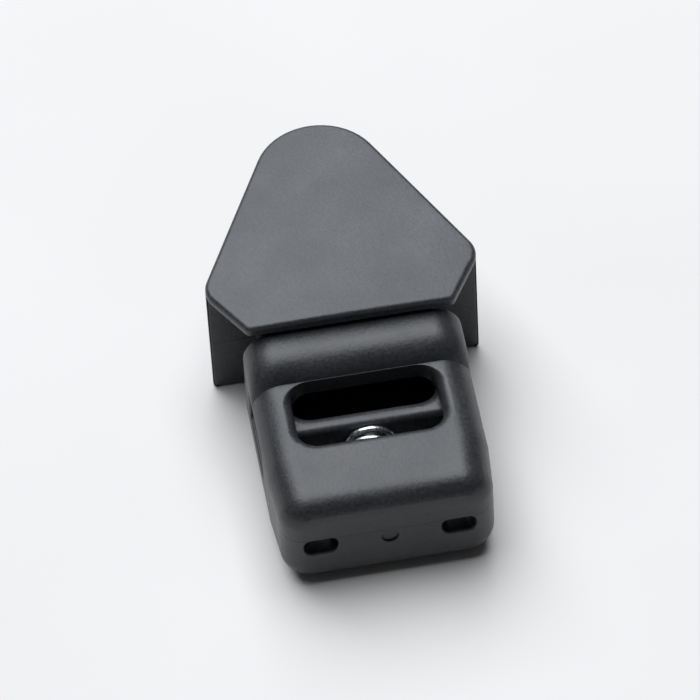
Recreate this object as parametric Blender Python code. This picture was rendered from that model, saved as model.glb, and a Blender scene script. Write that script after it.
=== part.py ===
"""Push-button cord lock: a moulded body, a push button with an arch-shaped head, and a coil spring.

The lock lies on its flat back. X is across the lock, +Y runs from the body to the tip of the
button's head, and +Z comes out of the face. The button slides along Y, and the cords pass
through the window along Z.

Lengths are in millimetres and become metres when a mesh is made. Y is measured from the lower
edge of the button's face plate, and Z from the middle of the body's thickness.
"""

import math

import bmesh
import bpy
from mathutils import Vector

MM = 0.001

# Button's head
HEAD_LENGTH = 15.4
HEAD_THICKNESS = 9.2
HEAD_EDGE_RADIUS = 0.3
TIP_RADIUS = 3.9
FLANK_ANGLE = math.radians(27.0)
SHOULDER_Y = 3.6
SHOULDER_RADIUS = 1.6
PLATE_HALF_WIDTH = 6.2
PLATE_CORNER_RADIUS = 0.5
PLATE_THICKNESS = 0.8

# Hollows moulded into the head's back
HOLLOW_WALL = 1.6
HOLLOW_DEPTH = 2.4
HOLLOW_CORNER_RADIUS = 0.5
HOLLOW_TOP_Y = 12.6
RIB_HALF_WIDTH = 0.8

# Body: a thick collar at its mouth, whose lower edge rolls back to a thinner front wall
BODY_THICKNESS = 8.2
BODY_HALF_WIDTH = 6.6
BODY_CORNER_RADIUS = 1.9
BODY_END_RADIUS = 1.5
BODY_END_Y = -12.5
BODY_TAPER_Y = -8.6
BODY_END_FRONT_DROP = 1.3
BODY_END_SIDE_DROP = 0.2
RIM_Y = 0.35
RIM_RADIUS = 0.25
COLLAR_FLAT_Y = -1.0
COLLAR_ROLL_RADIUS = 2.1
FRONT_DROP = 1.15
CAVITY_HALF_THICKNESS = 1.85
SIDE_WALL = 0.95
FLOOR_THICKNESS = 1.0

# Window for the cords, from front to back
WINDOW_TOP_Y = -2.9
WINDOW_HEIGHT = 4.6
WINDOW_HALF_WIDTH = 4.35
WINDOW_CORNER_RADIUS = 1.2
WINDOW_BACK_EDGE_RADIUS = 1.2
WINDOW_FRONT_EDGE_RADIUS = 0.7
SHANK_WINDOW_EDGE_RADIUS = 0.8

# Drain slots in the body's floor
DRAIN_OFFSET = 4.1
DRAIN_HALF_WIDTH = 1.0
DRAIN_HALF_THICKNESS = 0.6
DRAIN_CORNER_RADIUS = 0.48
DRAIN_MIDDLE_Z = -0.65

# Travel and fits
TRAVEL = 3.2
SLIDE_GAP = 0.3
STOP_GAP = 0.15

# Button's shank
CLAMP_BAR_HEIGHT = 1.3
SHANK_CORNER_RADIUS = 0.4

# Snap catches on the shank's sides, and their slots in the body's side walls
CATCH_TOP_Y = -1.6
CATCH_HEIGHT = 1.5
CATCH_LAND = 0.5
CATCH_DEPTH = 0.75
CATCH_HALF_THICKNESS = 0.9
CATCH_TIP_RADIUS = 0.1
CATCH_SLOT_RADIUS = 0.2

# Spring, and the guide pins inside its ends
WIRE_RADIUS = 0.2
COIL_RADIUS = 1.4
CLOSED_PITCH = 0.45
ACTIVE_TURNS = 3
PIN_RADIUS = 0.85
PIN_LENGTH = 0.9
SPRING_GAP = 0.05

# Fineness of round shapes, and the least radius of a corner
CORNER_STEPS = 6
EDGE_STEPS = 4
COIL_STEPS_PER_TURN = 12
PIN_SIDES = 16
WIRE_RESOLUTION = 1
SMOOTH_ANGLE = math.radians(35.0)
LEAST_RADIUS = 0.05

# Overlap of shapes that a Boolean joins or cuts
OVERLAP = 1.0
ROOT_OVERLAP = 0.3

HALF_THICKNESS = BODY_THICKNESS / 2
BACK_Z = -HALF_THICKNESS
FACE_Z = BACK_Z + HEAD_THICKNESS
PLATE_UNDERSIDE_Z = FACE_Z - PLATE_THICKNESS
WINDOW_BOTTOM_Y = WINDOW_TOP_Y - WINDOW_HEIGHT
CAVITY_HALF_WIDTH = BODY_HALF_WIDTH - SIDE_WALL
FLOOR_Y = BODY_END_Y + FLOOR_THICKNESS
SHANK_HALF_WIDTH = CAVITY_HALF_WIDTH - SLIDE_GAP
SHANK_HALF_THICKNESS = CAVITY_HALF_THICKNESS - SLIDE_GAP
CLAMP_BAR_TOP_Y = WINDOW_BOTTOM_Y + TRAVEL
SHANK_END_Y = CLAMP_BAR_TOP_Y - CLAMP_BAR_HEIGHT
SHANK_WINDOW_TOP_Y = WINDOW_TOP_Y + TRAVEL + STOP_GAP
CATCH_BOTTOM_Y = CATCH_TOP_Y - CATCH_HEIGHT

# The lock's origin is under the middle of its length.
GROOVE_Y = -(HEAD_LENGTH + BODY_END_Y) / 2


def clear_scene():
    for item in list(bpy.data.objects):
        bpy.data.objects.remove(item, do_unlink=True)


def shiny_material(name, colour, roughness, metallic):
    material = bpy.data.materials.new(name)
    material.use_nodes = True
    shader = material.node_tree.nodes["Principled BSDF"]
    shader.inputs["Base Color"].default_value = (*colour, 1.0)
    shader.inputs["Roughness"].default_value = roughness
    shader.inputs["Metallic"].default_value = metallic
    return material


def body_plastic():
    return shiny_material("body_plastic", (0.040, 0.041, 0.044), 0.45, 0.0)


def button_plastic():
    return shiny_material("button_plastic", (0.045, 0.046, 0.050), 0.42, 0.0)


def spring_steel():
    return shiny_material("spring_steel", (0.60, 0.60, 0.62), 0.28, 1.0)


def corner_sides(corners, index):
    """The directions of the side that arrives at a corner and the side that leaves it."""
    point = Vector(corners[index][:2])
    before = Vector(corners[index - 1][:2])
    after = Vector(corners[(index + 1) % len(corners)][:2])
    return (point - before).normalized(), (after - point).normalized()


def inset_corners(corners, inset):
    """Moves each side of a convex outline inwards, or outwards if negative, with its corners."""
    moved = []
    for index, (x, y, radius) in enumerate(corners):
        arriving, leaving = corner_sides(corners, index)
        inward_a = Vector((-arriving.y, arriving.x))
        inward_b = Vector((-leaving.y, leaving.x))
        shift = (inward_a + inward_b) * (inset / (1 + inward_a.dot(inward_b)))
        moved.append((x + shift.x, y + shift.y, max(radius - inset, LEAST_RADIUS)))
    return moved


def rounded_outline(corners):
    """Points of an outline given as (x, y, radius) corners in anticlockwise order."""
    outline = []
    for index, (x, y, radius) in enumerate(corners):
        arriving, leaving = corner_sides(corners, index)
        turn = math.atan2(arriving.cross(leaving), arriving.dot(leaving))
        inward = Vector((-arriving.y, arriving.x))
        centre = Vector((x, y)) - arriving * radius * math.tan(turn / 2) + inward * radius
        start = math.atan2(-inward.y, -inward.x)
        for step in range(CORNER_STEPS + 1):
            angle = start + turn * step / CORNER_STEPS
            outline.append((centre.x + radius * math.cos(angle), centre.y + radius * math.sin(angle)))
    return outline


def rectangle(low_x, high_x, low_y, high_y, radius):
    return [
        (low_x, low_y, radius),
        (high_x, low_y, radius),
        (high_x, high_y, radius),
        (low_x, high_y, radius),
    ]


def quarter_turn():
    return [math.pi / 2 * step / EDGE_STEPS for step in range(EDGE_STEPS + 1)]


def rounded_levels(low, high, low_radius, high_radius):
    """(height, inset) pairs that round the lower and upper edges of an extruded outline."""
    levels = [(low, 0.0)]
    if low_radius:
        levels = [
            (low + low_radius * (1 - math.cos(a)), low_radius * (1 - math.sin(a))) for a in quarter_turn()
        ]
    if high_radius:
        levels += [
            (high - high_radius * (1 - math.cos(a)), high_radius * (1 - math.sin(a)))
            for a in reversed(quarter_turn())
        ]
    else:
        levels.append((high, 0.0))
    return levels


def flared_end(face, edge_radius, reach, sign=1):
    """(height, growth) pairs for a hole's cutter that rounds the hole over where it meets a face."""
    levels = [
        (face - sign * edge_radius * (1 - math.sin(a)), edge_radius * (1 - math.cos(a)))
        for a in quarter_turn()
    ]
    levels.append((face + sign * reach, edge_radius))
    return levels


def flared_levels(half_depth, edge_radius, reach):
    """(height, inset) pairs for a hole's cutter that rounds the hole over at both its faces."""
    upper = [(height, -growth) for height, growth in flared_end(half_depth, edge_radius, reach)]
    lower = [(-height, inset) for height, inset in reversed(upper)]
    return lower + upper


def loft(name, corners, levels, along="Z"):
    """A closed solid from one outline, drawn in by an inset at each level."""
    return skin(name, [(height, inset_corners(corners, inset)) for height, inset in levels], along)


def skin(name, sections, along):
    """A closed solid through the outline at each level, standing along Z or lying along Y."""
    build = bmesh.new()
    layers = []
    for height, corners in sections:
        outline = rounded_outline(corners)
        if along == "Z":
            points = [(u, v, height) for u, v in outline]
        else:
            points = [(u, height, v) for u, v in outline]
        layers.append([build.verts.new(Vector(point) * MM) for point in points])
    count = len(layers[0])
    for below, above in zip(layers, layers[1:]):
        for index in range(count):
            following = (index + 1) % count
            build.faces.new((below[index], below[following], above[following], above[index]))
    build.faces.new(layers[0])
    build.faces.new(layers[-1])
    return finish_mesh(name, build)


def rod(name, radius, low_y, high_y):
    """A round bar along Y."""
    build = bmesh.new()
    bmesh.ops.create_cone(
        build, cap_ends=True, segments=PIN_SIDES, radius1=radius * MM, radius2=radius * MM,
        depth=(high_y - low_y) * MM,
    )
    for vert in build.verts:
        along = vert.co.z + (low_y + high_y) / 2 * MM
        vert.co = Vector((vert.co.x, along, -vert.co.y))
    return finish_mesh(name, build)


def finish_mesh(name, build):
    bmesh.ops.recalc_face_normals(build, faces=build.faces)
    mesh = bpy.data.meshes.new(name)
    build.to_mesh(mesh)
    build.free()
    mesh.shade_smooth()
    mesh.set_sharp_from_angle(angle=SMOOTH_ANGLE)
    item = bpy.data.objects.new(name, mesh)
    bpy.context.collection.objects.link(item)
    return item


def combine(item, tool, operation):
    """Joins a tool's shape to an item or cuts it away, and hides the tool."""
    modifier = item.modifiers.new(tool.name, "BOOLEAN")
    modifier.operation = operation
    modifier.solver = "EXACT"
    modifier.object = tool
    tool.hide_render = True
    tool.display_type = "WIRE"


def arch_outline():
    """The head: a round tip, straight flanks, flared shoulders, and sides that draw in below them."""
    tip_corner_y = HEAD_LENGTH - TIP_RADIUS + TIP_RADIUS / math.sin(FLANK_ANGLE)
    shoulder_x = flank_x(SHOULDER_Y)
    return [
        (-PLATE_HALF_WIDTH, 0.0, PLATE_CORNER_RADIUS),
        (PLATE_HALF_WIDTH, 0.0, PLATE_CORNER_RADIUS),
        (shoulder_x, SHOULDER_Y, SHOULDER_RADIUS),
        (0.0, tip_corner_y, TIP_RADIUS),
        (-shoulder_x, SHOULDER_Y, SHOULDER_RADIUS),
    ]


def flank_x(y):
    """Half the head's width at a height on its straight flanks, which touch the tip's circle."""
    rise = HEAD_LENGTH - TIP_RADIUS - y
    return (TIP_RADIUS + rise * math.sin(FLANK_ANGLE)) / math.cos(FLANK_ANGLE)


def window_outline(low_y, high_y):
    return rectangle(-WINDOW_HALF_WIDTH, WINDOW_HALF_WIDTH, low_y, high_y, WINDOW_CORNER_RADIUS)


def hollow_outline(side):
    """One of the two hollows in the head's back, on either side of the middle rib."""
    flank_inset = HOLLOW_WALL / math.cos(FLANK_ANGLE)
    low_y = SHOULDER_Y + HOLLOW_WALL
    corners = [
        (RIB_HALF_WIDTH, low_y, HOLLOW_CORNER_RADIUS),
        (flank_x(low_y) - flank_inset, low_y, HOLLOW_CORNER_RADIUS),
        (flank_x(HOLLOW_TOP_Y) - flank_inset, HOLLOW_TOP_Y, HOLLOW_CORNER_RADIUS),
        (RIB_HALF_WIDTH, HOLLOW_TOP_Y, HOLLOW_CORNER_RADIUS),
    ]
    if side < 0:
        corners = [(-x, y, radius) for x, y, radius in reversed(corners)]
    return corners


def add_head():
    """The head, with room under its lower part for the body to slide in behind the face plate."""
    head = loft(
        "push_button", arch_outline(),
        rounded_levels(BACK_Z, FACE_Z, HEAD_EDGE_RADIUS, HEAD_EDGE_RADIUS),
    )
    room = rectangle(-BODY_HALF_WIDTH * 2, BODY_HALF_WIDTH * 2, -OVERLAP, SHOULDER_Y, OVERLAP / 2)
    combine(head, loft("plate_room", room, [(BACK_Z - OVERLAP, 0.0), (PLATE_UNDERSIDE_Z, 0.0)]), "DIFFERENCE")
    return head


def add_catch(side):
    """A snap catch: a flat top that stops the button, and a slope that lets it snap in."""
    root_x = SHANK_HALF_WIDTH - ROOT_OVERLAP
    tip_x = SHANK_HALF_WIDTH + CATCH_DEPTH
    corners = [
        (root_x, CATCH_BOTTOM_Y, LEAST_RADIUS),
        (SHANK_HALF_WIDTH, CATCH_BOTTOM_Y, LEAST_RADIUS),
        (tip_x, CATCH_TOP_Y - CATCH_LAND, CATCH_TIP_RADIUS),
        (tip_x, CATCH_TOP_Y, LEAST_RADIUS),
        (root_x, CATCH_TOP_Y, LEAST_RADIUS),
    ]
    if side < 0:
        corners = [(-x, y, radius) for x, y, radius in reversed(corners)]
    levels = [(-CATCH_HALF_THICKNESS, 0.0), (CATCH_HALF_THICKNESS, 0.0)]
    return loft("catch_left" if side < 0 else "catch_right", corners, levels)


def add_push_button():
    button = add_head()
    shank = rectangle(
        -SHANK_HALF_WIDTH, SHANK_HALF_WIDTH, -SHANK_HALF_THICKNESS, SHANK_HALF_THICKNESS, SHANK_CORNER_RADIUS
    )
    shank_levels = [(SHANK_END_Y, 0.0), (SHOULDER_Y + OVERLAP, 0.0)]
    combine(button, loft("shank", shank, shank_levels, along="Y"), "UNION")
    for side in (-1, 1):
        combine(button, add_catch(side), "UNION")
    pin = rod("button_pin", PIN_RADIUS, SHANK_END_Y - PIN_LENGTH, SHANK_END_Y + ROOT_OVERLAP)
    combine(button, pin, "UNION")
    window = loft(
        "shank_window", window_outline(CLAMP_BAR_TOP_Y, SHANK_WINDOW_TOP_Y),
        flared_levels(SHANK_HALF_THICKNESS, SHANK_WINDOW_EDGE_RADIUS, SLIDE_GAP),
    )
    combine(button, window, "DIFFERENCE")
    for side in (-1, 1):
        hollow = loft(
            "hollow_left" if side < 0 else "hollow_right", hollow_outline(side),
            [(BACK_Z - OVERLAP, 0.0), (BACK_Z + HOLLOW_DEPTH, 0.0)],
        )
        combine(button, hollow, "DIFFERENCE")
    return button


def body_section(side_drop, front_drop):
    half_width = BODY_HALF_WIDTH - side_drop
    return rectangle(-half_width, half_width, BACK_Z, HALF_THICKNESS - front_drop, BODY_CORNER_RADIUS)


def body_sections():
    """(y, outline) pairs: the rounded end, the front wall, the collar's roll, and the rim."""
    sections = []
    rim = []
    for height, inset in rounded_levels(BODY_END_Y, RIM_Y, BODY_END_RADIUS, RIM_RADIUS):
        if height < BODY_TAPER_Y:
            end = body_section(BODY_END_SIDE_DROP, BODY_END_FRONT_DROP)
            sections.append((height, inset_corners(end, inset)))
        else:
            rim.append((height, inset_corners(body_section(0.0, 0.0), inset)))
    sections.append((BODY_TAPER_Y, body_section(0.0, FRONT_DROP)))
    roll_end = math.acos(1 - FRONT_DROP / COLLAR_ROLL_RADIUS)
    for step in range(2 * EDGE_STEPS, -1, -1):
        angle = roll_end * step / (2 * EDGE_STEPS)
        y = COLLAR_FLAT_Y - COLLAR_ROLL_RADIUS * math.sin(angle)
        sections.append((y, body_section(0.0, COLLAR_ROLL_RADIUS * (1 - math.cos(angle)))))
    return sections + rim


def body_window():
    """The window's cutter. Its top edge is plain in front, because the collar's roll leads into it."""
    back = [(z, growth, growth) for z, growth in flared_end(BACK_Z, WINDOW_BACK_EDGE_RADIUS, OVERLAP, -1)]
    front_z = HALF_THICKNESS - FRONT_DROP
    reach = FRONT_DROP + OVERLAP
    front = [(z, growth, 0.0) for z, growth in flared_end(front_z, WINDOW_FRONT_EDGE_RADIUS, reach)]
    sections = []
    for z, growth, top_growth in list(reversed(back)) + front:
        half_width = WINDOW_HALF_WIDTH + growth
        outline = rectangle(
            -half_width, half_width, WINDOW_BOTTOM_Y - growth, WINDOW_TOP_Y + top_growth,
            WINDOW_CORNER_RADIUS + growth,
        )
        sections.append((z, outline))
    return skin("body_window", sections, along="Z")


def add_body():
    """The body: a cup that opens towards the button, with a window through its front and back."""
    body = skin("body", body_sections(), along="Y")
    cavity = rectangle(
        -CAVITY_HALF_WIDTH, CAVITY_HALF_WIDTH, -CAVITY_HALF_THICKNESS, CAVITY_HALF_THICKNESS,
        SHANK_CORNER_RADIUS,
    )
    combine(body, loft("cavity", cavity, [(FLOOR_Y, 0.0), (RIM_Y + OVERLAP, 0.0)], along="Y"), "DIFFERENCE")
    combine(body, body_window(), "DIFFERENCE")
    combine(body, add_catch_slots(), "DIFFERENCE")
    for side in (-1, 1):
        combine(body, add_drain(side), "DIFFERENCE")
    combine(body, rod("body_pin", PIN_RADIUS, FLOOR_Y - ROOT_OVERLAP, FLOOR_Y + PIN_LENGTH), "UNION")
    return body


def add_catch_slots():
    """One bar across the body that cuts the slots for both catches."""
    reach = BODY_HALF_WIDTH + OVERLAP
    slots = rectangle(
        -reach, reach, CATCH_BOTTOM_Y - TRAVEL - STOP_GAP, CATCH_TOP_Y + STOP_GAP, CATCH_SLOT_RADIUS
    )
    half_thickness = CATCH_HALF_THICKNESS + SLIDE_GAP
    return loft("catch_slots", slots, [(-half_thickness, 0.0), (half_thickness, 0.0)])


def add_drain(side):
    middle = side * DRAIN_OFFSET
    slot = rectangle(
        middle - DRAIN_HALF_WIDTH, middle + DRAIN_HALF_WIDTH,
        DRAIN_MIDDLE_Z - DRAIN_HALF_THICKNESS, DRAIN_MIDDLE_Z + DRAIN_HALF_THICKNESS, DRAIN_CORNER_RADIUS,
    )
    levels = [(BODY_END_Y - OVERLAP, 0.0), (FLOOR_Y + OVERLAP / 2, 0.0)]
    return loft("drain_left" if side < 0 else "drain_right", slot, levels, along="Y")


def coil_points():
    """A compression spring along Y, with one closed turn at each end."""
    low = FLOOR_Y + SPRING_GAP + WIRE_RADIUS
    high = SHANK_END_Y - SPRING_GAP - WIRE_RADIUS
    active_pitch = (high - low - 2 * CLOSED_PITCH) / ACTIVE_TURNS
    turns = ACTIVE_TURNS + 2
    points = []
    for step in range(turns * COIL_STEPS_PER_TURN + 1):
        turn = step / COIL_STEPS_PER_TURN
        closed = min(turn, 1.0) + max(turn - turns + 1, 0.0)
        y = low + closed * CLOSED_PITCH + (turn - closed) * active_pitch
        angle = 2 * math.pi * turn
        points.append((COIL_RADIUS * math.cos(angle), y, COIL_RADIUS * math.sin(angle)))
    return points


def add_spring():
    curve = bpy.data.curves.new("spring", "CURVE")
    curve.dimensions = "3D"
    curve.bevel_depth = WIRE_RADIUS * MM
    curve.bevel_resolution = WIRE_RESOLUTION
    curve.use_fill_caps = True
    points = coil_points()
    spline = curve.splines.new("POLY")
    spline.points.add(len(points) - 1)
    for place, point in zip(spline.points, points):
        place.co = (*(Vector(point) * MM), 1.0)
    spring = bpy.data.objects.new("spring", curve)
    bpy.context.collection.objects.link(spring)
    return spring


def place(item, material, axis):
    item.parent = axis
    item.data.materials.append(material)


def main():
    clear_scene()
    slide_axis = bpy.data.objects.new("slide_axis", None)
    bpy.context.collection.objects.link(slide_axis)
    slide_axis.location = (0.0, GROOVE_Y * MM, HALF_THICKNESS * MM)
    place(add_body(), body_plastic(), slide_axis)
    place(add_push_button(), button_plastic(), slide_axis)
    place(add_spring(), spring_steel(), slide_axis)
    for item in bpy.data.objects:
        if item.display_type == "WIRE":
            item.parent = slide_axis


main()
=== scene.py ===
"""Looks for the push-button cord lock: two satin-black mouldings and a steel spring.

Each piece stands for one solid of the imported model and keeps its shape, with finer rounding, a
curved face, the marks that a mould leaves, and a finished material. Outlines are in millimetres.
Y is measured from the lower edge of the button's face plate, and Z from the middle of the body's
thickness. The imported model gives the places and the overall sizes.
"""

import math

import bmesh
import bpy
from mathutils import Matrix, Vector


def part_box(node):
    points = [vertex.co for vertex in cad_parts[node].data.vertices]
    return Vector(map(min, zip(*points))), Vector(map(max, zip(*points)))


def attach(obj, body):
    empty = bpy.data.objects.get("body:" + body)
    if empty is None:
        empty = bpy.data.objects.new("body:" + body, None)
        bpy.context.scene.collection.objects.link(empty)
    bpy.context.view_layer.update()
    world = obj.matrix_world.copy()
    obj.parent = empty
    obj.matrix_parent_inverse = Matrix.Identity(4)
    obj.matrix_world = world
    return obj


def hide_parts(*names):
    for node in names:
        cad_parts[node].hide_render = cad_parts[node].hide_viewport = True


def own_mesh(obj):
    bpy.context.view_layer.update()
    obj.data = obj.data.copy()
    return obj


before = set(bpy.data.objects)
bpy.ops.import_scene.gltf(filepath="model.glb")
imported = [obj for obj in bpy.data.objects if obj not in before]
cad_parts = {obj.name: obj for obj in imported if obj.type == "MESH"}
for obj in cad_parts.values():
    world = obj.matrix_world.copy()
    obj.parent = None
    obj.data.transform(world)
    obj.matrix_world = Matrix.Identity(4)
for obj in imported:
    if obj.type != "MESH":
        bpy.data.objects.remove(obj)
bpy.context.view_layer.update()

MM = 0.001

body_low, body_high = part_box("body")
button_low, button_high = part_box("push_button")

# How far the body's rim reaches behind the face plate
RIM_Y = 0.35

# The lower edge of the face plate, the middle of the body's thickness, and the axis through both
GROOVE = body_high.y - RIM_Y * MM
MIDDLE = (body_low.z + body_high.z) / 2
AXIS = Vector((0.0, GROOVE, MIDDLE))


def in_mm(length):
    return length / MM


# Button's head
HEAD_LENGTH = in_mm(button_high.y - GROOVE)
BACK_Z = in_mm(button_low.z - MIDDLE)
FACE_Z = in_mm(button_high.z - MIDDLE)
HALF_WIDTH = in_mm(button_high.x)
HEAD_EDGE_RADIUS = 0.3
TIP_RADIUS = 3.9
FLANK_ANGLE = math.radians(27.0)
SHOULDER_Y = 3.6
SHOULDER_RADIUS = 1.6
PLATE_HALF_WIDTH = 6.2
PLATE_CORNER_RADIUS = 0.5
PLATE_THICKNESS = 0.8

# The face's slight curve across the head, and the edges where the plate leaves the head
FACE_CROWN = 0.14
CUT_EDGE_RADIUS = 0.16
CUT_EDGE_SEGMENTS = 3
CUT_EDGE_ANGLE = math.radians(40)

# Hollows in the head's back
HOLLOW_WALL = 1.6
HOLLOW_DEPTH = 2.4
HOLLOW_CORNER_RADIUS = 0.5
HOLLOW_FLOOR_RADIUS = 0.3
HOLLOW_TOP_Y = 12.6
RIB_HALF_WIDTH = 0.8

# Body: a thick collar at its mouth, whose lower edge rolls back to a thinner front wall
HALF_THICKNESS = in_mm(body_high.z - MIDDLE)
BODY_HALF_WIDTH = in_mm(body_high.x - body_low.x) / 2
BODY_CORNER_RADIUS = 1.9
BODY_END_RADIUS = 1.5
BODY_END_Y = in_mm(body_low.y - GROOVE)
BODY_TAPER_Y = -8.6
BODY_END_FRONT_DROP = 1.3
BODY_END_SIDE_DROP = 0.2
RIM_RADIUS = 0.25
COLLAR_FLAT_Y = -1.0
COLLAR_ROLL_RADIUS = 2.1
FRONT_DROP = 1.15
CAVITY_HALF_THICKNESS = 1.85
SIDE_WALL = 0.95
FLOOR_THICKNESS = 1.0

# Window for the cords
WINDOW_TOP_Y = -2.9
WINDOW_HEIGHT = 4.6
WINDOW_HALF_WIDTH = 4.35
WINDOW_CORNER_RADIUS = 1.2
WINDOW_BACK_EDGE_RADIUS = 1.2
WINDOW_FRONT_EDGE_RADIUS = 0.7
SHANK_WINDOW_EDGE_RADIUS = 0.8

# Drain slots
DRAIN_OFFSET = 4.1
DRAIN_HALF_WIDTH = 1.0
DRAIN_HALF_THICKNESS = 0.6
DRAIN_CORNER_RADIUS = 0.48
DRAIN_MIDDLE_Z = -0.65

# Travel and fits
TRAVEL = 3.2
SLIDE_GAP = 0.3
STOP_GAP = 0.15

# Shank and its snap catches
CLAMP_BAR_HEIGHT = 1.3
SHANK_CORNER_RADIUS = 0.4
SHANK_END_RADIUS = 0.4
CATCH_TOP_Y = -1.6
CATCH_HEIGHT = 1.5
CATCH_LAND = 0.5
CATCH_DEPTH = 0.75
CATCH_HALF_THICKNESS = 0.9
CATCH_TIP_RADIUS = 0.15
CATCH_TOP_RADIUS = 0.08
CATCH_EDGE_RADIUS = 0.06
CATCH_SLOT_RADIUS = 0.3

# Spring and guide pins
WIRE_RADIUS = 0.2
COIL_RADIUS = 1.4
CLOSED_PITCH = 0.45
ACTIVE_TURNS = 3
PIN_RADIUS = 0.85
PIN_LENGTH = 0.9
PIN_TIP_RADIUS = 0.2
SPRING_GAP = 0.05

# Turned so that the cut end of the wire by the clamp bar faces the back
COIL_START = math.pi

# Small edges
HOLE_EDGE_RADIUS = 0.15
LEAST_RADIUS = 0.03
SHARP_ANGLE = math.radians(30)

# Marks that the mould leaves: ejector pins in the backs, and the gate in the body's end
EJECTOR_RADIUS = 0.7
EJECTOR_DEPTH = 0.07
BODY_EJECTOR_X = 3.6
BODY_EJECTOR_Y = -9.9
HEAD_EJECTOR_Y = 13.75
GATE_RADIUS = 0.5
GATE_DEPTH = 0.15

# Fineness of round shapes, and how finely wide faces are divided
CORNER_STEPS = 18
EDGE_STEPS = 8
ROLL_STEPS = 2 * EDGE_STEPS
COIL_STEPS_PER_TURN = 48
WIRE_RESOLUTION = 4
CROWN_STRIPS = 28
GRID_SPACING = 0.75

# A circle's corner radius as a share of its radius, which leaves sides that are short but not zero
ROUNDNESS = 0.98

# Edges shorter than this are merged, and a cut passes through points closer than CUT_TOLERANCE
SLIVER = 0.0005
CUT_TOLERANCE = 0.0001

# The least Z of a normal for a face to count as part of the head's flat face
LEVEL_NORMAL = 0.99

# How far wide faces outweigh narrow ones in the shading, in the modifier's steps from 1 to 100
WIDE_FACE_WEIGHT = 90

# Overlap of shapes that are joined or cut away
OVERLAP = 1.0
ROOT_OVERLAP = 0.3

# Worked out from the values above
PLATE_UNDERSIDE_Z = FACE_Z - PLATE_THICKNESS
WINDOW_BOTTOM_Y = WINDOW_TOP_Y - WINDOW_HEIGHT
CAVITY_HALF_WIDTH = BODY_HALF_WIDTH - SIDE_WALL
FLOOR_Y = BODY_END_Y + FLOOR_THICKNESS
SHANK_HALF_WIDTH = CAVITY_HALF_WIDTH - SLIDE_GAP
SHANK_HALF_THICKNESS = CAVITY_HALF_THICKNESS - SLIDE_GAP
CLAMP_BAR_TOP_Y = WINDOW_BOTTOM_Y + TRAVEL
SHANK_END_Y = CLAMP_BAR_TOP_Y - CLAMP_BAR_HEIGHT
SHANK_WINDOW_TOP_Y = WINDOW_TOP_Y + TRAVEL + STOP_GAP
CATCH_BOTTOM_Y = CATCH_TOP_Y - CATCH_HEIGHT


# ---------------------------------------------------------------- camera, floor and light

# Angles in degrees, lens in millimetres, and the rest of this section in metres and watts
CAMERA_AZIMUTH = -7.0
CAMERA_ELEVATION = 50.0
CAMERA_ROLL = 3.5
CAMERA_LENS = 300.0
CAMERA_CLIP_START = 0.01
VIEW_WIDTH = 0.042

KEY_AZIMUTH = 192.0
KEY_ELEVATION = 64.0
KEY_DISTANCE = 0.9
KEY_WIDTH = 0.9
KEY_LENGTH = 1.15
KEY_WATTS = 15.5
KEY_COLOUR = (0.955, 0.985, 1.035)
SKY_COLOUR = (0.93, 0.96, 1.0)
SKY_STRENGTH = 0.05
FLOOR_SIZE = 3.0
FLOOR_Z = -0.00002


def direction(azimuth, elevation):
    """The unit vector towards a place in the studio; azimuth 0 is in front, on the body's side."""
    turn = math.radians(azimuth)
    rise = math.radians(elevation)
    level = math.cos(rise)
    return Vector((math.sin(turn) * level, -math.cos(turn) * level, math.sin(rise)))


def add_camera(target):
    data = bpy.data.cameras.new("camera")
    data.lens = CAMERA_LENS
    data.clip_start = CAMERA_CLIP_START
    camera = bpy.data.objects.new("camera", data)
    bpy.context.collection.objects.link(camera)
    distance = VIEW_WIDTH * CAMERA_LENS / data.sensor_width
    towards = direction(CAMERA_AZIMUTH, CAMERA_ELEVATION)
    camera.location = target + towards * distance
    level = towards.to_track_quat("Z", "Y").to_matrix().to_4x4()
    roll = Matrix.Rotation(math.radians(-CAMERA_ROLL), 4, "Z")
    camera.matrix_world = Matrix.Translation(camera.location) @ level @ roll
    bpy.context.scene.camera = camera


def add_softbox(target):
    """One large soft light from behind and above, which the head's face mirrors to the camera."""
    data = bpy.data.lights.new("key_softbox", "AREA")
    data.shape = "RECTANGLE"
    data.size = KEY_WIDTH
    data.size_y = KEY_LENGTH
    data.energy = KEY_WATTS
    data.color = KEY_COLOUR
    light = bpy.data.objects.new("key_softbox", data)
    bpy.context.collection.objects.link(light)
    towards = direction(KEY_AZIMUTH, KEY_ELEVATION)
    light.location = target + towards * KEY_DISTANCE
    light.rotation_euler = towards.to_track_quat("Z", "Y").to_euler()


def add_floor():
    build = bmesh.new()
    bmesh.ops.create_grid(build, x_segments=1, y_segments=1, size=FLOOR_SIZE)
    mesh = bpy.data.meshes.new("floor")
    build.to_mesh(mesh)
    build.free()
    floor = bpy.data.objects.new("floor", mesh)
    bpy.context.collection.objects.link(floor)
    floor.location.z = FLOOR_Z
    floor.data.materials.append(floor_material())


def add_world():
    world = bpy.data.worlds.new("studio")
    world.use_nodes = True
    background = world.node_tree.nodes["Background"]
    background.inputs["Color"].default_value = (*SKY_COLOUR, 1.0)
    background.inputs["Strength"].default_value = SKY_STRENGTH
    bpy.context.scene.world = world


def add_studio():
    target = Vector((0.0, (body_low.y + button_high.y) / 2, MIDDLE))
    add_camera(target)
    add_floor()
    add_world()
    add_softbox(target)


# ---------------------------------------------------------------- materials

# Noise scales are per metre, and heights and widths are in metres
CLOUD_SCALE = 260.0
PORE_SCALE = 2300.0
GRAIN_SCALE = 5200.0
GRAIN_HEIGHT = 0.00003
GRAIN_STRENGTH = 0.45
PORE_HEIGHT = 0.00004
PORE_STRENGTH = 0.25
SEAM_HEIGHT = 0.00004
SEAM_STRENGTH = 0.5
SEAM_HALF_WIDTH = 0.00007

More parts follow.
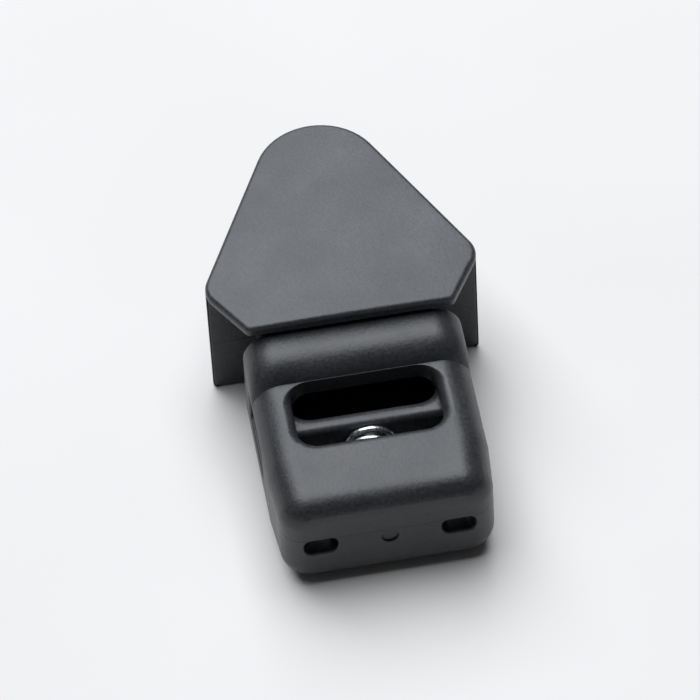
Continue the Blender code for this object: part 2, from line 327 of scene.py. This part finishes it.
# Plastic's finish: its roughness from patch to patch, and what the grain and the wear change in it
PLASTIC_IOR = 1.5
PATCH_ROUGHNESS = (0.37, 0.47)
GRAIN_ROUGHNESS = (-0.05, 0.05)
RUBBED_POLISH = 0.08

# The part of the grain's noise between its dips and its peaks
GRAIN_SLOPE = (0.35, 0.65)

# How convex an edge is where its wear and painted highlight start and where they are full, and how
# unevenly patches take them
WORN_SHEEN_POINTINESS = (0.53, 0.62)
WORN_SHEEN_PATCHES = (0.35, 0.7)
PATCH_WEAR_SHEEN = (0.15, 1.0)

# Shares of a plastic's colour: in the dips of the grain, and on its peaks from dark to light patches
DIP_SHADE = 0.72
DARK_SHADE = 1.0
LIGHT_SHADE = 1.3

# Each plastic's colour, and the lighter colour of its convex edges, which is partly wear and partly a
# painted highlight for the sheen of polished edges
BUTTON_COLOUR = (0.029, 0.031, 0.035)
BUTTON_WORN_SHEEN = (0.058, 0.061, 0.066)
BODY_COLOUR = (0.025, 0.027, 0.030)
BODY_WORN_SHEEN = (0.053, 0.056, 0.060)

DARK_STEEL = (0.46, 0.46, 0.48)
LIGHT_STEEL = (0.66, 0.66, 0.67)
STEEL_CLOUD_SCALE = 900.0
STEEL_ROUGHNESS = (0.22, 0.38)
WIRE_MARK_STRETCH = (5000.0, 300.0, 5000.0)
WIRE_MARK_SCALE = 2.0
WIRE_MARK_HEIGHT = 0.00001
WIRE_MARK_STRENGTH = 0.15

DARK_PAPER = (0.715, 0.70, 0.68)
LIGHT_PAPER = (0.755, 0.74, 0.72)
PAPER_CLOUD_SCALE = 25.0
PAPER_ROUGHNESS = 0.9
PAPER_SPECULAR = 0.2

# The middle part of a noise's range, where nearly all of its values are
NOISE_MIDDLE = (0.3, 0.7)
FULL_RANGE = (0.0, 1.0)


def shade(colour, share):
    return tuple(share * part for part in colour)


class Nodes:
    """A short way to add and join shader nodes in one material."""

    def __init__(self, name):
        self.material = bpy.data.materials.new(name)
        self.material.use_nodes = True
        self.tree = self.material.node_tree
        self.shader = self.tree.nodes["Principled BSDF"]

    def add(self, kind, **settings):
        node = self.tree.nodes.new(kind)
        for name, value in settings.items():
            setattr(node, name, value)
        return node

    def join(self, output, target):
        self.tree.links.new(output, target)

    def coordinates(self, scale=(1.0, 1.0, 1.0)):
        source = self.add("ShaderNodeTexCoord")
        mapping = self.add("ShaderNodeMapping")
        mapping.inputs["Scale"].default_value = scale
        self.join(source.outputs["Object"], mapping.inputs["Vector"])
        return mapping.outputs["Vector"]

    def noise(self, vector, scale, detail=3.0, roughness=0.5):
        node = self.add("ShaderNodeTexNoise")
        node.inputs["Scale"].default_value = scale
        node.inputs["Detail"].default_value = detail
        node.inputs["Roughness"].default_value = roughness
        self.join(vector, node.inputs["Vector"])
        return node.outputs["Fac"]

    def remap(self, value, old_range, new_range=FULL_RANGE, smooth=False):
        node = self.add("ShaderNodeMapRange")
        node.interpolation_type = "SMOOTHSTEP" if smooth else "LINEAR"
        node.inputs["From Min"].default_value = old_range[0]
        node.inputs["From Max"].default_value = old_range[1]
        node.inputs["To Min"].default_value = new_range[0]
        node.inputs["To Max"].default_value = new_range[1]
        self.join(value, node.inputs["Value"])
        return node.outputs["Result"]

    def spread(self, noise, new_range=FULL_RANGE):
        """A noise's middle part, stretched over a new range."""
        return self.remap(noise, NOISE_MIDDLE, new_range)

    def math(self, operation, first, second):
        node = self.add("ShaderNodeMath", operation=operation)
        for place, value in enumerate((first, second)):
            if isinstance(value, (int, float)):
                node.inputs[place].default_value = value
            else:
                self.join(value, node.inputs[place])
        return node.outputs["Value"]

    def mix_colour(self, factor, first, second):
        node = self.add("ShaderNodeMix", data_type="RGBA")
        self.join(factor, node.inputs["Factor"])
        for name, value in (("A", first), ("B", second)):
            socket = [s for s in node.inputs if s.name == name and s.type == "RGBA"][0]
            if isinstance(value, tuple):
                socket.default_value = (*value, 1.0)
            else:
                self.join(value, socket)
        return [s for s in node.outputs if s.type == "RGBA"][0]

    def bump(self, height, strength, distance, below=None):
        node = self.add("ShaderNodeBump")
        node.inputs["Strength"].default_value = strength
        node.inputs["Distance"].default_value = distance
        self.join(height, node.inputs["Height"])
        if below is not None:
            self.join(below, node.inputs["Normal"])
        return node.outputs["Normal"]


def floor_material():
    nodes = Nodes("floor_paper")
    cloud = nodes.spread(nodes.noise(nodes.coordinates(), PAPER_CLOUD_SCALE))
    nodes.join(nodes.mix_colour(cloud, DARK_PAPER, LIGHT_PAPER), nodes.shader.inputs["Base Color"])
    nodes.shader.inputs["Roughness"].default_value = PAPER_ROUGHNESS
    nodes.shader.inputs["Specular IOR Level"].default_value = PAPER_SPECULAR
    return nodes.material


def satin_plastic(name, colour, worn_sheen):
    """Black moulded plastic with a fine spark-eroded grain, a parting line, and convex edges lightened
    partly by wear and partly by a painted highlight.
    """
    nodes = Nodes(name)
    vector = nodes.coordinates()
    cloud = nodes.noise(vector, CLOUD_SCALE, detail=4.0)
    grain = nodes.noise(vector, GRAIN_SCALE, detail=2.0, roughness=0.6)
    pores = nodes.noise(vector, PORE_SCALE, detail=3.0, roughness=0.55)
    rubbed_sheen = rubbed_sheen_edges(nodes, cloud)
    peaks = nodes.mix_colour(nodes.spread(cloud), shade(colour, DARK_SHADE), shade(colour, LIGHT_SHADE))
    height = nodes.remap(grain, GRAIN_SLOPE)
    grained = nodes.mix_colour(height, shade(colour, DIP_SHADE), peaks)
    # Convex edges turn to the lighter edge colour: partly wear, partly a painted highlight
    nodes.join(nodes.mix_colour(rubbed_sheen, grained, worn_sheen), nodes.shader.inputs["Base Color"])
    patches = nodes.spread(cloud, PATCH_ROUGHNESS)
    rough = nodes.math("ADD", patches, nodes.spread(grain, GRAIN_ROUGHNESS))
    polish = nodes.math("MULTIPLY", rubbed_sheen, RUBBED_POLISH)
    nodes.join(nodes.math("SUBTRACT", rough, polish), nodes.shader.inputs["Roughness"])
    nodes.shader.inputs["IOR"].default_value = PLASTIC_IOR
    normal = nodes.bump(grain, GRAIN_STRENGTH, GRAIN_HEIGHT)
    normal = nodes.bump(pores, PORE_STRENGTH, PORE_HEIGHT, normal)
    normal = nodes.bump(seam_ridge(nodes), SEAM_STRENGTH, SEAM_HEIGHT, normal)
    nodes.join(normal, nodes.shader.inputs["Normal"])
    return nodes.material


def rubbed_sheen_edges(nodes, cloud):
    """How far the convex edges are lightened by wear and a painted highlight, which is uneven along
    them.
    """
    pointiness = nodes.add("ShaderNodeNewGeometry").outputs["Pointiness"]
    edges = nodes.remap(pointiness, WORN_SHEEN_POINTINESS, smooth=True)
    return nodes.math("MULTIPLY", edges, nodes.remap(cloud, WORN_SHEEN_PATCHES, PATCH_WEAR_SHEEN))


def seam_ridge(nodes):
    """A thin raised line at half the body's thickness, where the two halves of the mould met."""
    split = nodes.add("ShaderNodeSeparateXYZ")
    nodes.join(nodes.coordinates(), split.inputs["Vector"])
    away = nodes.math("ABSOLUTE", nodes.math("SUBTRACT", split.outputs["Z"], MIDDLE), 0.0)
    return nodes.remap(away, (0.0, SEAM_HALF_WIDTH), (1.0, 0.0), smooth=True)


def spring_steel():
    """Bright wire, uneven in its grey, with fine marks on it."""
    nodes = Nodes("spring_wire_steel")
    cloud = nodes.noise(nodes.coordinates(), STEEL_CLOUD_SCALE)
    marks = nodes.noise(nodes.coordinates(WIRE_MARK_STRETCH), WIRE_MARK_SCALE, detail=2.0)
    colour = nodes.mix_colour(nodes.spread(cloud), DARK_STEEL, LIGHT_STEEL)
    nodes.join(colour, nodes.shader.inputs["Base Color"])
    nodes.shader.inputs["Metallic"].default_value = 1.0
    nodes.join(nodes.spread(marks, STEEL_ROUGHNESS), nodes.shader.inputs["Roughness"])
    marked = nodes.bump(marks, WIRE_MARK_STRENGTH, WIRE_MARK_HEIGHT)
    nodes.join(marked, nodes.shader.inputs["Normal"])
    return nodes.material


# ---------------------------------------------------------------- shapes

def corner_sides(corners, index):
    """The directions of the side that arrives at a corner and the side that leaves it."""
    point = Vector(corners[index][:2])
    before = Vector(corners[index - 1][:2])
    after = Vector(corners[(index + 1) % len(corners)][:2])
    return (point - before).normalized(), (after - point).normalized()


def inset_corners(corners, inset):
    """Moves each side of a convex outline inwards, or outwards if negative, with its corners."""
    moved = []
    for index, (x, y, radius) in enumerate(corners):
        arriving, leaving = corner_sides(corners, index)
        inward_a = Vector((-arriving.y, arriving.x))
        inward_b = Vector((-leaving.y, leaving.x))
        shift = (inward_a + inward_b) * (inset / (1 + inward_a.dot(inward_b)))
        moved.append((x + shift.x, y + shift.y, max(radius - inset, LEAST_RADIUS)))
    return moved


def rounded_outline(corners):
    """Points of an outline given as (x, y, radius) corners in anticlockwise order."""
    outline = []
    for index, (x, y, radius) in enumerate(corners):
        arriving, leaving = corner_sides(corners, index)
        turn = math.atan2(arriving.cross(leaving), arriving.dot(leaving))
        inward = Vector((-arriving.y, arriving.x))
        centre = Vector((x, y)) - arriving * radius * math.tan(turn / 2) + inward * radius
        start = math.atan2(-inward.y, -inward.x)
        for step in range(CORNER_STEPS + 1):
            angle = start + turn * step / CORNER_STEPS
            outline.append((centre.x + radius * math.cos(angle), centre.y + radius * math.sin(angle)))
    return outline


def rectangle(low_x, high_x, low_y, high_y, radius):
    return [
        (low_x, low_y, radius),
        (high_x, low_y, radius),
        (high_x, high_y, radius),
        (low_x, high_y, radius),
    ]


def quarter_turn():
    return [math.pi / 2 * step / EDGE_STEPS for step in range(EDGE_STEPS + 1)]


def rounded_low(low, radius):
    """(height, inset) pairs, going up, that round the lower edge of an extruded outline."""
    return [(low + radius * (1 - math.cos(a)), radius * (1 - math.sin(a))) for a in quarter_turn()]


def rounded_high(high, radius):
    """(height, inset) pairs, going up, that round its upper edge."""
    turn = reversed(quarter_turn())
    return [(high - radius * (1 - math.cos(a)), radius * (1 - math.sin(a))) for a in turn]


def rounded_levels(low, high, low_radius, high_radius):
    """(height, inset) pairs for both ends of an extruded outline; an end of radius 0 is plain."""
    lower = rounded_low(low, low_radius) if low_radius else [(low, 0.0)]
    upper = rounded_high(high, high_radius) if high_radius else [(high, 0.0)]
    return lower + upper


def flared_end(face, edge_radius, reach, sign=1):
    """(height, growth) pairs for a hole's cutter that rounds the hole over where it meets a face."""
    levels = [
        (face - sign * edge_radius * (1 - math.sin(a)), edge_radius * (1 - math.cos(a)))
        for a in quarter_turn()
    ]
    levels.append((face + sign * reach, edge_radius))
    return levels


def as_insets(levels):
    return [(height, -growth) for height, growth in levels]


def flared_low(face, edge_radius, reach=OVERLAP):
    """(height, inset) pairs, going up, where a hole's cutter passes the lower face of a wall."""
    return list(reversed(as_insets(flared_end(face, edge_radius, reach, -1))))


def flared_high(face, edge_radius, reach=OVERLAP):
    """(height, inset) pairs, going up, where it passes the upper face."""
    return as_insets(flared_end(face, edge_radius, reach))


def flared_through(half_depth, edge_radius, reach=OVERLAP):
    """(height, inset) pairs for a hole's cutter that rounds the hole over at both its faces."""
    return flared_low(-half_depth, edge_radius, reach) + flared_high(half_depth, edge_radius, reach)


def loft(name, corners, levels, along="Z"):
    """A closed solid from one outline, drawn in by an inset at each level."""
    return skin(name, [(height, inset_corners(corners, inset)) for height, inset in levels], along)


def skin(name, sections, along):
    """A closed solid through the outline at each level, along one axis."""
    build = bmesh.new()
    layers = []
    for height, corners in sections:
        outline = rounded_outline(corners)
        if along == "Z":
            points = [(u, v, height) for u, v in outline]
        elif along == "Y":
            points = [(u, height, v) for u, v in outline]
        else:
            points = [(height, u, v) for u, v in outline]
        layers.append([build.verts.new(Vector(point) * MM) for point in points])
    count = len(layers[0])
    for below, above in zip(layers, layers[1:]):
        for index in range(count):
            following = (index + 1) % count
            build.faces.new((below[index], below[following], above[following], above[index]))
    build.faces.new(layers[0])
    build.faces.new(layers[-1])
    bmesh.ops.recalc_face_normals(build, faces=build.faces)
    mesh = bpy.data.meshes.new(name)
    build.to_mesh(mesh)
    build.free()
    item = bpy.data.objects.new(name, mesh)
    bpy.context.collection.objects.link(item)
    return item


def circle(u, v, radius):
    """A circle as a square with fully rounded corners, short of a zero-length side."""
    return rectangle(u - radius, u + radius, v - radius, v + radius, radius * ROUNDNESS)


def rod(name, radius, levels):
    """A round bar along Y on the middle line, given as (y, inset) levels."""
    return loft(name, circle(0.0, 0.0, radius), levels, along="Y")


def dimple(face, depth):
    """(height, inset) pairs for the cutter of a shallow round mark in a lower face."""
    return flared_low(face, depth / 2) + [(face + depth, 0.0)]


def ejector_mark(x, y):
    return loft("ejector_mark", circle(x, y, EJECTOR_RADIUS), dimple(BACK_Z, EJECTOR_DEPTH))


def gate_mark():
    """The dimple in the body's end where the plastic was let in."""
    outline = circle(0.0, DRAIN_MIDDLE_Z, GATE_RADIUS)
    return loft("gate_mark", outline, dimple(BODY_END_Y, GATE_DEPTH), along="Y")


def combine(item, tool, operation):
    """Joins a tool's shape to an item, or cuts it away, for good."""
    modifier = item.modifiers.new(tool.name, "BOOLEAN")
    modifier.operation = operation
    modifier.solver = "EXACT"
    modifier.object = tool
    apply_modifiers(item)
    bpy.data.objects.remove(tool, do_unlink=True)


def apply_modifiers(item):
    depsgraph = bpy.context.evaluated_depsgraph_get()
    mesh = bpy.data.meshes.new_from_object(item.evaluated_get(depsgraph))
    item.modifiers.clear()
    item.data = mesh


def clean(item):
    """Removes the slivers that cutting leaves."""
    build = bmesh.new()
    build.from_mesh(item.data)
    bmesh.ops.remove_doubles(build, verts=build.verts, dist=SLIVER * MM)
    bmesh.ops.dissolve_degenerate(build, edges=build.edges, dist=SLIVER * MM)
    build.to_mesh(item.data)
    build.free()


def weigh_normals(item):
    """Keeps wide faces flat in their shading, and leaves the turn to the narrow faces of an edge."""
    modifier = item.modifiers.new("weighted_normals", "WEIGHTED_NORMAL")
    modifier.keep_sharp = True
    modifier.weight = WIDE_FACE_WEIGHT
    apply_modifiers(item)


def round_cut_edges(item):
    modifier = item.modifiers.new("edge_rounding", "BEVEL")
    modifier.width = CUT_EDGE_RADIUS * MM
    modifier.segments = CUT_EDGE_SEGMENTS
    modifier.limit_method = "ANGLE"
    modifier.angle_limit = CUT_EDGE_ANGLE
    modifier.use_clamp_overlap = False
    apply_modifiers(item)


def flank_x(y):
    """Half the head's width at a height on its straight flanks, which touch the tip's circle."""
    rise = HEAD_LENGTH - TIP_RADIUS - y
    return (TIP_RADIUS + rise * math.sin(FLANK_ANGLE)) / math.cos(FLANK_ANGLE)


def arch_outline():
    """The head: a round tip, straight flanks, flared shoulders, and sides that draw in below them."""
    tip_corner_y = HEAD_LENGTH - TIP_RADIUS + TIP_RADIUS / math.sin(FLANK_ANGLE)
    shoulder_x = flank_x(SHOULDER_Y)
    return [
        (-PLATE_HALF_WIDTH, 0.0, PLATE_CORNER_RADIUS),
        (PLATE_HALF_WIDTH, 0.0, PLATE_CORNER_RADIUS),
        (shoulder_x, SHOULDER_Y, SHOULDER_RADIUS),
        (0.0, tip_corner_y, TIP_RADIUS),
        (-shoulder_x, SHOULDER_Y, SHOULDER_RADIUS),
    ]


def crown(item):
    """Curves the flat face very slightly across its width, as a moulded face is."""
    lowest_z = FACE_Z - HEAD_EDGE_RADIUS - CUT_EDGE_RADIUS
    build = bmesh.new()
    build.from_mesh(item.data)
    for step in range(1, CROWN_STRIPS):
        share = step / CROWN_STRIPS
        cut(build, build.faces[:], Vector((HALF_WIDTH * (2 * share - 1), 0, 0)), Vector((1, 0, 0)))
        level = [face for face in build.faces if face.normal.z > LEVEL_NORMAL]
        cut(build, level, Vector((0, HEAD_LENGTH * share, 0)), Vector((0, 1, 0)))
    for vert in build.verts:
        if vert.co.z > lowest_z * MM:
            vert.co.z -= FACE_CROWN * MM * (in_mm(vert.co.x) / HALF_WIDTH) ** 2
    build.to_mesh(item.data)
    build.free()


def cut(build, faces, place, across):
    """Cuts faces along a plane, without parting them."""
    edges = {edge for face in faces for edge in face.edges}
    verts = {vert for face in faces for vert in face.verts}
    bmesh.ops.bisect_plane(
        build,
        geom=[*verts, *edges, *faces],
        dist=CUT_TOLERANCE * MM,
        plane_co=place * MM,
        plane_no=across,
    )


def cut_into_grid(item):
    """Divides wide flat faces, so that the wear and painted highlight on an edge fade close to it."""
    build = bmesh.new()
    build.from_mesh(item.data)
    for axis in range(3):
        across = Vector((0.0, 0.0, 0.0))
        across[axis] = 1.0
        low = in_mm(min(vert.co[axis] for vert in build.verts))
        high = in_mm(max(vert.co[axis] for vert in build.verts))
        count = round((high - low) / GRID_SPACING)
        for step in range(1, count):
            cut(build, build.faces[:], across * (low + (high - low) * step / count), across)
    build.to_mesh(item.data)
    build.free()


def add_head():
    """The head, with room under its lower part for the body to slide in behind the face plate."""
    levels = rounded_levels(BACK_Z, FACE_Z, HEAD_EDGE_RADIUS, HEAD_EDGE_RADIUS)
    head = loft("button_moulding", arch_outline(), levels)
    crown(head)
    room = rectangle(-BODY_HALF_WIDTH * 2, BODY_HALF_WIDTH * 2, -OVERLAP, SHOULDER_Y, OVERLAP / 2)
    room_levels = [(BACK_Z - OVERLAP, 0.0), (PLATE_UNDERSIDE_Z, 0.0)]
    combine(head, loft("plate_room", room, room_levels), "DIFFERENCE")
    round_cut_edges(head)
    return head


def add_button():
    """The head with its shank, which carries the cord window, the catches and the spring's pin."""
    button = add_head()
    combine(button, shank(), "UNION")
    for side in (-1, 1):
        combine(button, catch(side), "UNION")
    pin_tip_y = SHANK_END_Y - PIN_LENGTH
    pin_levels = rounded_levels(pin_tip_y, SHANK_END_Y + ROOT_OVERLAP, PIN_TIP_RADIUS, 0.0)
    combine(button, rod("button_pin", PIN_RADIUS, pin_levels), "UNION")
    combine(button, shank_window(), "DIFFERENCE")
    for side in (-1, 1):
        combine(button, hollow(side), "DIFFERENCE")
    combine(button, ejector_mark(0.0, HEAD_EJECTOR_Y), "DIFFERENCE")
    return button


def shank():
    outline = rectangle(
        -SHANK_HALF_WIDTH, SHANK_HALF_WIDTH, -SHANK_HALF_THICKNESS, SHANK_HALF_THICKNESS,
        SHANK_CORNER_RADIUS,
    )
    levels = rounded_levels(SHANK_END_Y, SHOULDER_Y + OVERLAP, SHANK_END_RADIUS, 0.0)
    return loft("shank", outline, levels, along="Y")


def shank_window():
    outline = rectangle(
        -WINDOW_HALF_WIDTH, WINDOW_HALF_WIDTH, CLAMP_BAR_TOP_Y, SHANK_WINDOW_TOP_Y,
        WINDOW_CORNER_RADIUS,
    )
    levels = flared_through(SHANK_HALF_THICKNESS, SHANK_WINDOW_EDGE_RADIUS, SLIDE_GAP)
    return loft("shank_window", outline, levels)


def catch(side):
    """A snap catch: a flat top that stops the button, and a slope that lets it snap in."""
    root_x = SHANK_HALF_WIDTH - ROOT_OVERLAP
    tip_x = SHANK_HALF_WIDTH + CATCH_DEPTH
    corners = [
        (root_x, CATCH_BOTTOM_Y, LEAST_RADIUS),
        (SHANK_HALF_WIDTH, CATCH_BOTTOM_Y, LEAST_RADIUS),
        (tip_x, CATCH_TOP_Y - CATCH_LAND, CATCH_TIP_RADIUS),
        (tip_x, CATCH_TOP_Y, CATCH_TOP_RADIUS),
        (root_x, CATCH_TOP_Y, LEAST_RADIUS),
    ]
    if side < 0:
        corners = mirrored(corners)
    levels = rounded_levels(
        -CATCH_HALF_THICKNESS, CATCH_HALF_THICKNESS, CATCH_EDGE_RADIUS, CATCH_EDGE_RADIUS
    )
    return loft("catch", corners, levels)


def hollow(side):
    """One of the two hollows in the head's back, on either side of the middle rib."""
    flank_inset = HOLLOW_WALL / math.cos(FLANK_ANGLE)
    low_y = SHOULDER_Y + HOLLOW_WALL
    corners = [
        (RIB_HALF_WIDTH, low_y, HOLLOW_CORNER_RADIUS),
        (flank_x(low_y) - flank_inset, low_y, HOLLOW_CORNER_RADIUS),
        (flank_x(HOLLOW_TOP_Y) - flank_inset, HOLLOW_TOP_Y, HOLLOW_CORNER_RADIUS),
        (RIB_HALF_WIDTH, HOLLOW_TOP_Y, HOLLOW_CORNER_RADIUS),
    ]
    if side < 0:
        corners = mirrored(corners)
    levels = flared_low(BACK_Z, HOLE_EDGE_RADIUS)
    levels += rounded_high(BACK_Z + HOLLOW_DEPTH, HOLLOW_FLOOR_RADIUS)
    return loft("hollow", corners, levels)


def mirrored(corners):
    return [(-x, y, radius) for x, y, radius in reversed(corners)]


def body_section(side_drop, front_drop):
    """The body's outline across Y, with its sides and its front drawn in."""
    half_width = BODY_HALF_WIDTH - side_drop
    return rectangle(-half_width, half_width, BACK_Z, HALF_THICKNESS - front_drop, BODY_CORNER_RADIUS)


def body_sections():
    """(y, outline) pairs: the rounded end, the front wall, the collar's roll, and the rim."""
    end = body_section(BODY_END_SIDE_DROP, BODY_END_FRONT_DROP)
    sections = [(y, inset_corners(end, inset)) for y, inset in rounded_low(BODY_END_Y, BODY_END_RADIUS)]
    sections.append((BODY_TAPER_Y, body_section(0.0, FRONT_DROP)))
    roll_end = math.acos(1 - FRONT_DROP / COLLAR_ROLL_RADIUS)
    for step in range(ROLL_STEPS, -1, -1):
        angle = roll_end * step / ROLL_STEPS
        y = COLLAR_FLAT_Y - COLLAR_ROLL_RADIUS * math.sin(angle)
        sections.append((y, body_section(0.0, COLLAR_ROLL_RADIUS * (1 - math.cos(angle)))))
    collar = body_section(0.0, 0.0)
    sections += [(y, inset_corners(collar, inset)) for y, inset in rounded_high(RIM_Y, RIM_RADIUS)]
    return sections


def body_window():
    """The window's cutter. Its top edge is plain in front, because the collar's roll leads into it."""
    back = flared_end(BACK_Z, WINDOW_BACK_EDGE_RADIUS, OVERLAP, -1)
    back.reverse()
    front = flared_end(HALF_THICKNESS - FRONT_DROP, WINDOW_FRONT_EDGE_RADIUS, FRONT_DROP + OVERLAP)
    sections = [(z, window_outline(growth, growth)) for z, growth in back]
    sections += [(z, window_outline(growth, 0.0)) for z, growth in front]
    return skin("body_window", sections, along="Z")


def window_outline(growth, top_growth):
    half_width = WINDOW_HALF_WIDTH + growth
    return rectangle(
        -half_width, half_width, WINDOW_BOTTOM_Y - growth, WINDOW_TOP_Y + top_growth,
        WINDOW_CORNER_RADIUS + growth,
    )


def add_body():
    """The body: a cup that opens towards the button, with a window through its front and back."""
    body = skin("body_moulding", body_sections(), along="Y")
    combine(body, cavity(), "DIFFERENCE")
    combine(body, body_window(), "DIFFERENCE")
    combine(body, catch_slots(), "DIFFERENCE")
    for side in (-1, 1):
        combine(body, drain(side), "DIFFERENCE")
    pin_tip_y = FLOOR_Y + PIN_LENGTH
    pin_levels = rounded_levels(FLOOR_Y - ROOT_OVERLAP, pin_tip_y, 0.0, PIN_TIP_RADIUS)
    combine(body, rod("body_pin", PIN_RADIUS, pin_levels), "UNION")
    for side in (-1, 1):
        combine(body, ejector_mark(side * BODY_EJECTOR_X, BODY_EJECTOR_Y), "DIFFERENCE")
    combine(body, gate_mark(), "DIFFERENCE")
    return body


def cavity():
    outline = rectangle(
        -CAVITY_HALF_WIDTH, CAVITY_HALF_WIDTH, -CAVITY_HALF_THICKNESS, CAVITY_HALF_THICKNESS,
        SHANK_CORNER_RADIUS,
    )
    return loft("cavity", outline, [(FLOOR_Y, 0.0)] + flared_high(RIM_Y, HOLE_EDGE_RADIUS), along="Y")


def catch_slots():
    """One bar across the body that cuts the slots for both catches."""
    outline = rectangle(
        CATCH_BOTTOM_Y - TRAVEL - STOP_GAP, CATCH_TOP_Y + STOP_GAP,
        -CATCH_HALF_THICKNESS - SLIDE_GAP, CATCH_HALF_THICKNESS + SLIDE_GAP,
        CATCH_SLOT_RADIUS,
    )
    return loft("catch_slots", outline, flared_through(BODY_HALF_WIDTH, HOLE_EDGE_RADIUS), along="X")


def drain(side):
    """One of the two slots in the body's end that let water out of the spring's room."""
    middle = side * DRAIN_OFFSET
    outline = rectangle(
        middle - DRAIN_HALF_WIDTH, middle + DRAIN_HALF_WIDTH,
        DRAIN_MIDDLE_Z - DRAIN_HALF_THICKNESS, DRAIN_MIDDLE_Z + DRAIN_HALF_THICKNESS,
        DRAIN_CORNER_RADIUS,
    )
    levels = flared_low(BODY_END_Y, HOLE_EDGE_RADIUS) + [(FLOOR_Y + OVERLAP / 2, 0.0)]
    return loft("drain", outline, levels, along="Y")


def coil_points():
    """A compression spring along Y, with one closed turn at each end."""
    low = FLOOR_Y + SPRING_GAP + WIRE_RADIUS
    high = SHANK_END_Y - SPRING_GAP - WIRE_RADIUS
    active_pitch = (high - low - 2 * CLOSED_PITCH) / ACTIVE_TURNS
    turns = ACTIVE_TURNS + 2
    points = []
    for step in range(turns * COIL_STEPS_PER_TURN + 1):
        turn = step / COIL_STEPS_PER_TURN
        closed = min(turn, 1.0) + max(turn - turns + 1, 0.0)
        y = low + closed * CLOSED_PITCH + (turn - closed) * active_pitch
        angle = COIL_START + 2 * math.pi * turn
        points.append((COIL_RADIUS * math.cos(angle), y, COIL_RADIUS * math.sin(angle)))
    return points


def add_spring():
    curve = bpy.data.curves.new("spring_coil", "CURVE")
    curve.dimensions = "3D"
    curve.bevel_depth = WIRE_RADIUS * MM
    curve.bevel_resolution = WIRE_RESOLUTION
    curve.use_fill_caps = True
    points = coil_points()
    spline = curve.splines.new("POLY")
    spline.points.add(len(points) - 1)
    for place, point in zip(spline.points, points):
        place.co = (*(Vector(point) * MM), 1.0)
    holder = bpy.data.objects.new("spring_path", curve)
    bpy.context.collection.objects.link(holder)
    depsgraph = bpy.context.evaluated_depsgraph_get()
    mesh = bpy.data.meshes.new_from_object(holder.evaluated_get(depsgraph))
    spring = bpy.data.objects.new("spring_coil", mesh)
    bpy.context.collection.objects.link(spring)
    bpy.data.objects.remove(holder, do_unlink=True)
    return spring


def finish_piece(item, material, body, node):
    """Puts a piece in its place in the frame, with its material, and hides the plain solid."""
    clean(item)
    item.data.transform(Matrix.Translation(AXIS))
    item.data.materials.clear()
    item.data.materials.append(material)
    item.data.shade_smooth()
    item.data.set_sharp_from_angle(angle=SHARP_ANGLE)
    weigh_normals(item)
    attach(item, body)
    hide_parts(node)


def main():
    add_studio()
    body = add_body()
    button = add_button()
    for moulding in (body, button):
        cut_into_grid(moulding)
    body_plastic = satin_plastic("body_satin", BODY_COLOUR, BODY_WORN_SHEEN)
    button_plastic = satin_plastic("button_satin", BUTTON_COLOUR, BUTTON_WORN_SHEEN)
    finish_piece(body, body_plastic, "housing", "body")
    finish_piece(button, button_plastic, "button", "push_button")
    spring = add_spring()
    finish_piece(spring, spring_steel(), "housing", "spring")
    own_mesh(spring)


bpy.context.scene.view_settings.view_transform = "Standard"
main()
